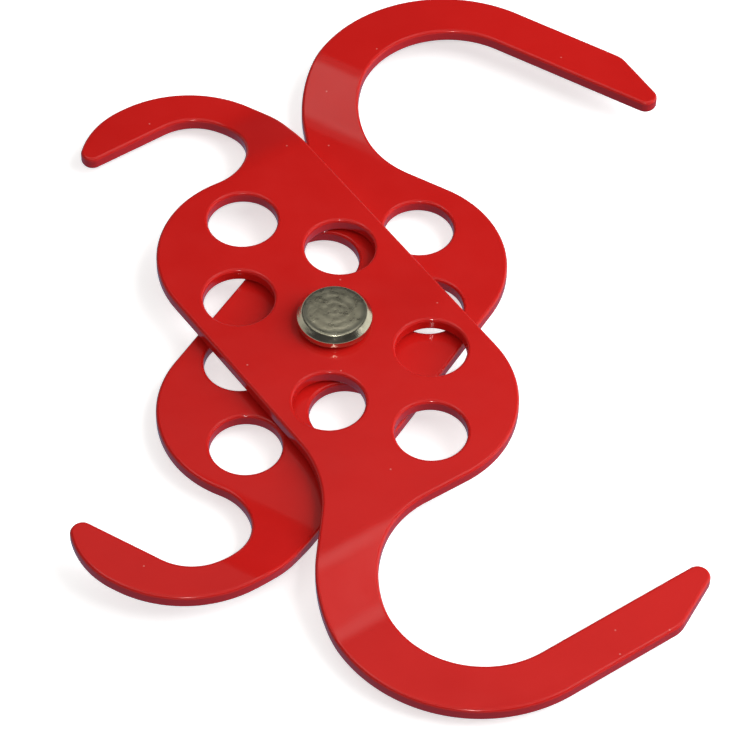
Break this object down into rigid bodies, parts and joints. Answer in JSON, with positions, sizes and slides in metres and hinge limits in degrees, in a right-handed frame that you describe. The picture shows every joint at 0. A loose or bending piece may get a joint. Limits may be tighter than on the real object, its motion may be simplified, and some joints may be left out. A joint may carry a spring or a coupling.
{
  "type": "lockout hasp",
  "caption": "Double-ended lockout hasp: two crossed red steel plates on one rivet, with padlock holes in the middle and a small and a large pair of interlocking hooks.",
  "frame": {"origin": "middle of the rivet tail's flat underside, on the rivet's axis", "axes": "+Z along the rivet's axis, from the formed tail to the head; +X halfway between the two large hooks as the hasp stands open; +Y towards the lower plate's large hook"},
  "size_m": [0.0743, 0.1128, 0.0078],
  "materials": {
    "red_paint": "glossy",
    "plated_steel": "dull plated"
  },
  "bodies": {
    "lower": {"lower_plate": "red_paint", "rivet": "plated_steel"},
    "upper": {"upper_plate": "red_paint"}
  },
  "joints": [
    {"name": "plate_hinge", "type": "hinge", "parent": "lower", "child": "upper", "pos_m": [0, 0, 0.0037], "axis": [0, 0, 1], "range_deg": [-2, 114.7]}
  ]
}
